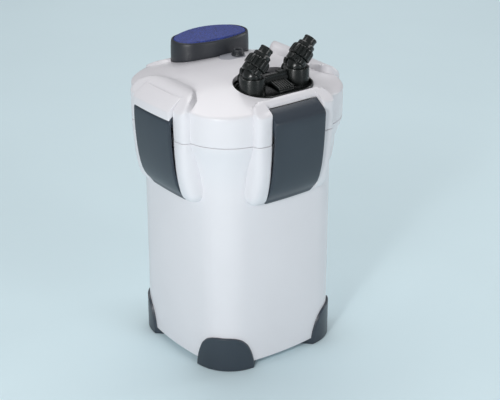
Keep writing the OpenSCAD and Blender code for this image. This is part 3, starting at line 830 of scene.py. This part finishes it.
def build_lock_lever():
    """The lever between the posts: a bar with a square pad, and a finned blade sloping down to the front."""
    cx, cy, z0 = TRAY[0], POST_Y, 374.0
    axis = upright(cx, cy, z0) @ Matrix.Rotation(math.radians(90), 4, "Y")
    core = [(3, -23), (3, -17), (5.6, -17), (6, -16.6), (6, 16.6), (5.6, 17), (3, 17), (3, 23)]
    lever = lathe("LockLever", core, 56, axis, angle=40)
    bar = [(cy + 4.5, z0), (cy + 4.5, z0 + 7.2), (cy + 2.6, z0 + 9), (cy - 2.8, z0 + 9), (cy - 4.5, z0 + 7),
           (cy - 4.5, z0)]
    blade = [(cy + 6, 367.5), (cy + 5, 375.5), (-90, 368.3), (-91.5, 366.8), (-91.5, 365.4), (-90, 364.8),
             (-74, 366.5)]
    fin = [(cy + 4, 369), (cy + 4, 378.3), (-90, 371.0), (-91.3, 368.5), (-90, 366.5)]
    parts = [slab_x("bar", bar, cx - 17, cx + 17, 0.7), slab_x("blade", blade, cx - 11, cx + 11, 0.7)]
    parts += [slab_x("fin", fin, cx + 3.4 * i - 0.8, cx + 3.4 * i + 0.8, 0.6, 3) for i in range(-3, 4)]
    pad = [(cy - 4, z0 + 8), (cy + 4, z0 + 8), (cy + 4, z0 + 10.6), (cy - 4, z0 + 10.6)]
    parts.append(slab_x("pad", pad, cx + 4, cx + 12, 0.8, 3))
    dimple = [(2.6, z0 + 10.4), (2.6, z0 + 11.0), (1.9, z0 + 11.0), (1.9, z0 + 10.4)]
    parts.append(lathe("dimple", dimple, 32, upright(cx + 8, cy), hollow=True))
    join(lever, *parts)
    place(lever, "lock_lever", "lock_lever")


def build_tray_screws():
    head = [(0.6, 362.0), (0.6, 363.0), (3.2, 363.2), (3.6, 362.6), (3.6, 361.02)]
    screws = [lathe(name, head, 32, upright(TRAY[0] + 4 * s, TRAY[1] - 27 * s), "steel")
              for name, s in (("TrayScrews", -1), ("screw", 1))]
    place(join(*screws), "housing", "valve_screws")


# ------------------------------------------------------------------ scene
INNER_SLOTS = {"head_base": "grey_plastic", "head_seal": "seal_rubber", "prime_ring": "seal_rubber",
               "port_seals": "seal_rubber", "stator_coils": "copper", "rotor_magnet": "magnet",
               "ceramic_media": "ceramic", "coarse_foam": "foam_blue", "fine_foam": "foam_white"}
STEEL_NODES = ("base_screws", "pin_", "prime_spring", "rotor_shaft", "stator_core")


def dress_inner_nodes():
    """CAD nodes that stay as they are get a finish: a named one, steel, or clear plastic for the rest."""
    for name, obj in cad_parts.items():
        if obj.hide_render:
            continue
        slot = INNER_SLOTS.get(name, "steel" if name.startswith(STEEL_NODES) else "clear_plastic")
        obj.data.materials.clear()
        obj.data.materials.append(FINISH[slot])


# each light's name, place, target, power and diameter, in metres and watts
MIDDLE = (0.0, 0.0, 0.24)
LIGHTS = (("Key", (-1.6, -0.75, 0.6), MIDDLE, 5.2, 0.45), ("Front", (0.35, -1.9, 0.7), MIDDLE, 4.4, 0.5),
          ("Right", (1.7, -0.5, 0.7), MIDDLE, 4.6, 0.5), ("Top", (-0.3, 0.5, 1.7), MIDDLE, 2.4, 0.6),
          ("Strip", (-0.75, -0.55, 0.62), (0.0, -0.05, 0.40), 3, 0.12),
          ("Backdrop", (1.0, 1.3, 2.6), (1.0, 1.3, 0.0), 34, 2.4))
FLOOR_HALF = 7.0


def add_to_scene(name, data):
    obj = bpy.data.objects.new(name, data)
    bpy.context.scene.collection.objects.link(obj)
    return obj


def aim(obj, location, target):
    """Puts a light or the camera in its place and turns it to its target."""
    obj.location = location
    obj.rotation_euler = (Vector(target) - Vector(location)).to_track_quat("-Z", "Y").to_euler()


def light(name, location, target, energy, size):
    data = bpy.data.lights.new(name, "AREA")
    data.energy, data.shape, data.size = energy, "DISK", size
    aim(add_to_scene(name, data), location, target)


def build_stage():
    """A plain floor, a pale sky and the lights."""
    mesh = bpy.data.meshes.new("Floor")
    corners = [(sx * FLOOR_HALF, sy * FLOOR_HALF, 0.0) for sx, sy in ((-1, -1), (1, -1), (1, 1), (-1, 1))]
    mesh.from_pydata(corners, [], [(0, 1, 2, 3)])
    paint = dict(rough=0.75, spread=0.02, grain=60, bump=0.02, large=1.5)
    mesh.materials.append(material("floor_paint", (0.72, 0.88, 0.93), **paint))
    floor = add_to_scene("Floor", mesh)
    world = bpy.data.worlds.new("Studio")
    bpy.context.scene.world = world
    world.use_nodes = True
    sky = world.node_tree.nodes["Background"]
    sky.inputs["Color"].default_value = (0.92, 0.93, 0.97, 1)
    sky.inputs["Strength"].default_value = 0.29
    for row in LIGHTS:
        light(*row)
    bpy.context.scene.view_settings.view_transform = "Standard"


def build_camera():
    """The camera stands off the front left corner and looks a little down, in metres."""
    data = bpy.data.cameras.new("Camera")
    data.sensor_width, data.lens = 36.0, 96.98
    cam = add_to_scene("Camera", data)
    aim(cam, (-0.96795, -1.30569, 0.91743), (0.0136, -0.0103, 0.1894))
    bpy.context.scene.camera = cam


build_canister()
build_head()
build_gland()
for label in SIDES:
    build_lever(label)
    if label != "front":
        build_cap(label)
for quarter, corner in enumerate(("rear_right", "rear_left", "front_left", "front_right")):
    build_foot(corner, quarter)
build_primer()
build_tray()
build_tray_screws()
build_lock_lever()
for port in POST_X:
    build_elbow(port)
    build_nut(port)
    build_tail(port)
    build_tap(port)
dress_inner_nodes()
build_stage()
build_camera()
